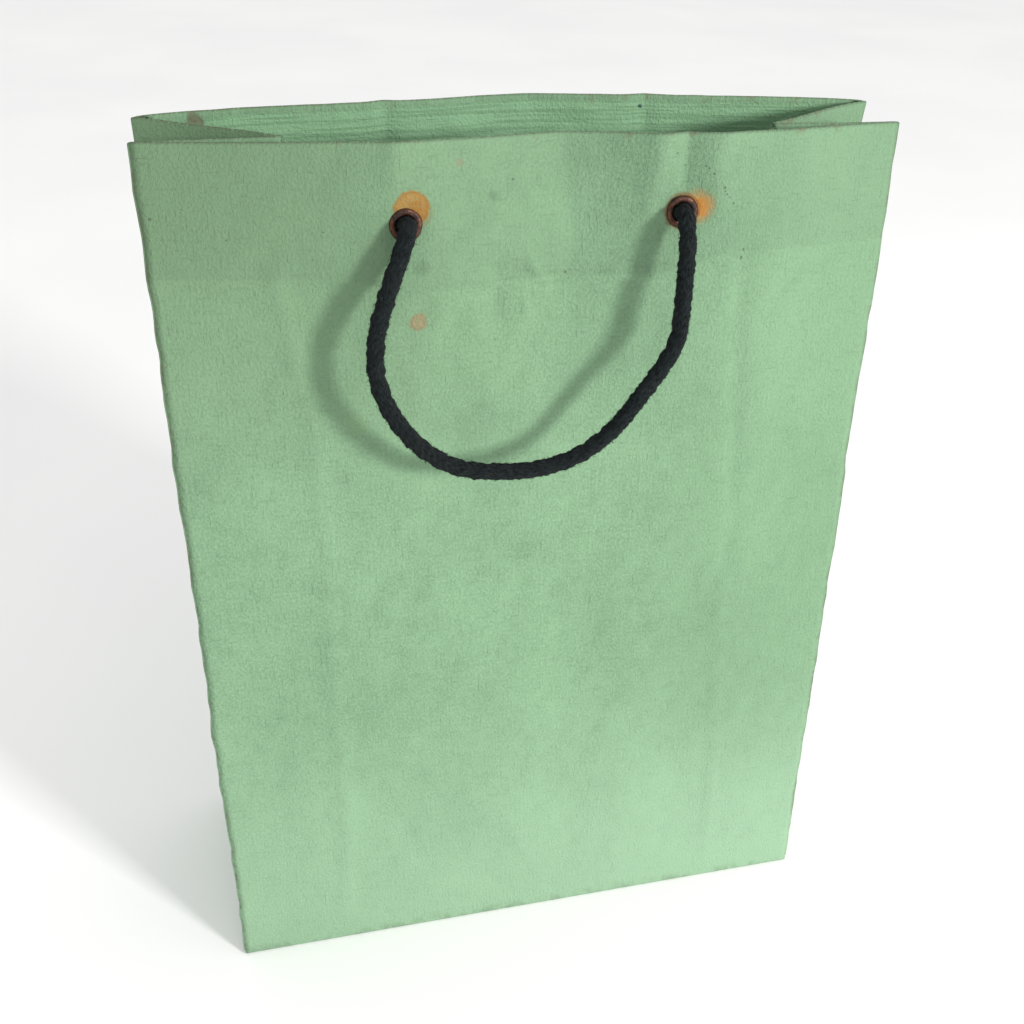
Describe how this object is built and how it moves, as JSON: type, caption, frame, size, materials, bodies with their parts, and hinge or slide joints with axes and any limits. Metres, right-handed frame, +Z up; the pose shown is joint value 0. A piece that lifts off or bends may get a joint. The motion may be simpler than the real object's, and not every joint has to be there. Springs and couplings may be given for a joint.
{
  "type": "gift bag",
  "caption": "Standing paper gift bag with a block bottom, folded side gussets, metal eyelets and knotted rope handles.",
  "frame": {"origin": "centre of the base's underside, with the bag standing on it", "axes": "+X to the right seen from the front, +Y from the front wall to the rear wall, +Z up"},
  "size_m": [0.2408, 0.0992, 0.3201],
  "materials": {
    "paper_green": "matte handmade",
    "card_grey": "matte",
    "cord_black": "braided cotton",
    "eyelet_copper": "tarnished copper"
  },
  "bodies": {
    "base": {"base_outer_flap": "paper_green", "base_front_flap": "paper_green", "base_left_tuck": "paper_green", "base_right_tuck": "paper_green", "base_board": "card_grey"},
    "front_wall": {"front_panel": "paper_green", "front_reinforcement_card": "card_grey", "front_hem": "paper_green", "front_left_eyelet": "eyelet_copper", "front_left_cord_end": "cord_black", "front_left_knot": "cord_black", "front_right_eyelet": "eyelet_copper", "front_right_cord_end": "cord_black", "front_right_knot": "cord_black"},
    "rear_wall": {"rear_panel": "paper_green", "rear_reinforcement_card": "card_grey", "rear_hem": "paper_green", "rear_left_eyelet": "eyelet_copper", "rear_left_cord_end": "cord_black", "rear_left_knot": "cord_black", "rear_right_eyelet": "eyelet_copper", "rear_right_cord_end": "cord_black", "rear_right_knot": "cord_black", "side_seam_tab": "paper_green"},
    "left_gusset_front": {"left_gusset_front": "paper_green", "left_gusset_front_hem": "paper_green"},
    "left_gusset_rear": {"left_gusset_rear": "paper_green", "left_gusset_rear_hem": "paper_green"},
    "left_gusset_centre": {"left_gusset_centre": "paper_green"},
    "right_gusset_front": {"right_gusset_front": "paper_green", "right_gusset_front_hem": "paper_green"},
    "right_gusset_rear": {"right_gusset_rear": "paper_green", "right_gusset_rear_hem": "paper_green"},
    "right_gusset_centre": {"right_gusset_centre": "paper_green"},
    "front_handle": {"front_handle_cord": "cord_black"},
    "rear_handle": {"rear_handle_cord": "cord_black"}
  },
  "joints": [
    {"name": "front_wall_lean", "type": "hinge", "parent": "base", "child": "front_wall", "pos_m": [0, -0.045, 0], "axis": [-1, 0, 0], "range_deg": [-3, 0.3]},
    {"name": "rear_wall_lean", "type": "hinge", "parent": "base", "child": "rear_wall", "pos_m": [0, 0.045, 0], "axis": [1, 0, 0], "range_deg": [-1.6, 0.2]},
    {"name": "left_gusset_front_fold", "type": "hinge", "parent": "front_wall", "child": "left_gusset_front", "pos_m": [-0.12, -0.045, 0], "axis": [0, -0.1236, -0.9923], "range_deg": [-23.5, 2.4]},
    {"name": "left_gusset_rear_fold", "type": "hinge", "parent": "rear_wall", "child": "left_gusset_rear", "pos_m": [-0.12, 0.045, 0], "axis": [0, -0.0868, 0.9962], "range_deg": [-12.4, 1.3]},
    {"name": "left_gusset_centre_lean", "type": "hinge", "parent": "base", "child": "left_gusset_centre", "pos_m": [-0.12, 0, 0], "axis": [0, 1, 0], "range_deg": [-0.95, 0.12]},
    {"name": "right_gusset_front_fold", "type": "hinge", "parent": "front_wall", "child": "right_gusset_front", "pos_m": [0.12, -0.045, 0], "axis": [0, 0.1236, 0.9923], "range_deg": [-23.5, 2.4]},
    {"name": "right_gusset_rear_fold", "type": "hinge", "parent": "rear_wall", "child": "right_gusset_rear", "pos_m": [0.12, 0.045, 0], "axis": [0, 0.0868, -0.9962], "range_deg": [-12.4, 1.3]},
    {"name": "right_gusset_centre_lean", "type": "hinge", "parent": "base", "child": "right_gusset_centre", "pos_m": [0.12, 0, 0], "axis": [0, -1, 0], "range_deg": [-0.95, 0.12]},
    {"name": "front_handle_swing", "type": "hinge", "parent": "front_wall", "child": "front_handle", "pos_m": [-0.04396, -0.02395, 0.29521], "axis": [-0.9997, -0.0238, 0.0019], "range_deg": [0, 150]},
    {"name": "rear_handle_swing", "type": "hinge", "parent": "rear_wall", "child": "rear_handle", "pos_m": [-0.0443, 0.03292, 0.2957], "axis": [1, 0.0056, 0.0002], "range_deg": [0, 150]}
  ],
  "couplings": [
    {"joint": "rear_wall_lean", "follows": "front_wall_lean", "ratio": 0.52},
    {"joint": "left_gusset_front_fold", "follows": "front_wall_lean", "ratio": 7.8},
    {"joint": "left_gusset_rear_fold", "follows": "front_wall_lean", "ratio": 4.1},
    {"joint": "left_gusset_centre_lean", "follows": "front_wall_lean", "ratio": 0.3},
    {"joint": "right_gusset_front_fold", "follows": "front_wall_lean", "ratio": 7.8},
    {"joint": "right_gusset_rear_fold", "follows": "front_wall_lean", "ratio": 4.1},
    {"joint": "right_gusset_centre_lean", "follows": "front_wall_lean", "ratio": 0.3}
  ]
}
